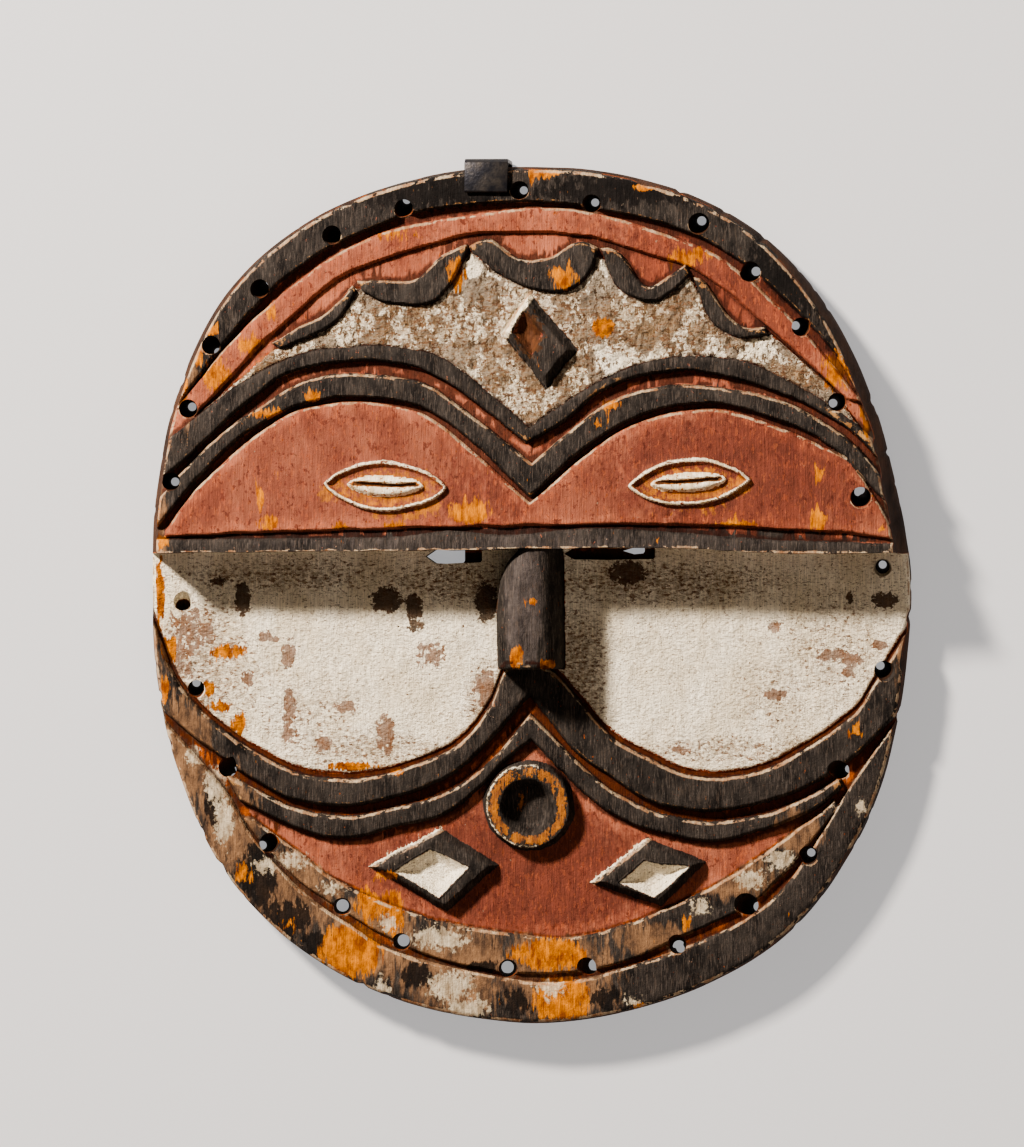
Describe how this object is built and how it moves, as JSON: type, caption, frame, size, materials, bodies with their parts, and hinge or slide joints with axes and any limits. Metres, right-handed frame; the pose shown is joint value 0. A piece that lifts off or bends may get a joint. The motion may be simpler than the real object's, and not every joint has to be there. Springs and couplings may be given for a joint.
{
  "type": "teke tsaye mask",
  "caption": "Round flat carved wooden face mask, its forehead half overhanging the cheek half, with a hollow back, eye slits and a pierced rim; worn before the face or hung.",
  "frame": {"origin": "on the floor plane under the middle of the disc and its clip, with the mask lying on its back", "axes": "+Z out of the carved face, +Y towards the forehead, +X to the right of the face as seen"},
  "size_m": [0.3064, 0.3472, 0.0452],
  "materials": {
    "carved_wood": "matte worn pigment",
    "dark_metal": "satin"
  },
  "bodies": {
    "root": {"carved_mask": "carved_wood", "rim_clip": "dark_metal"}
  },
  "joints": []
}
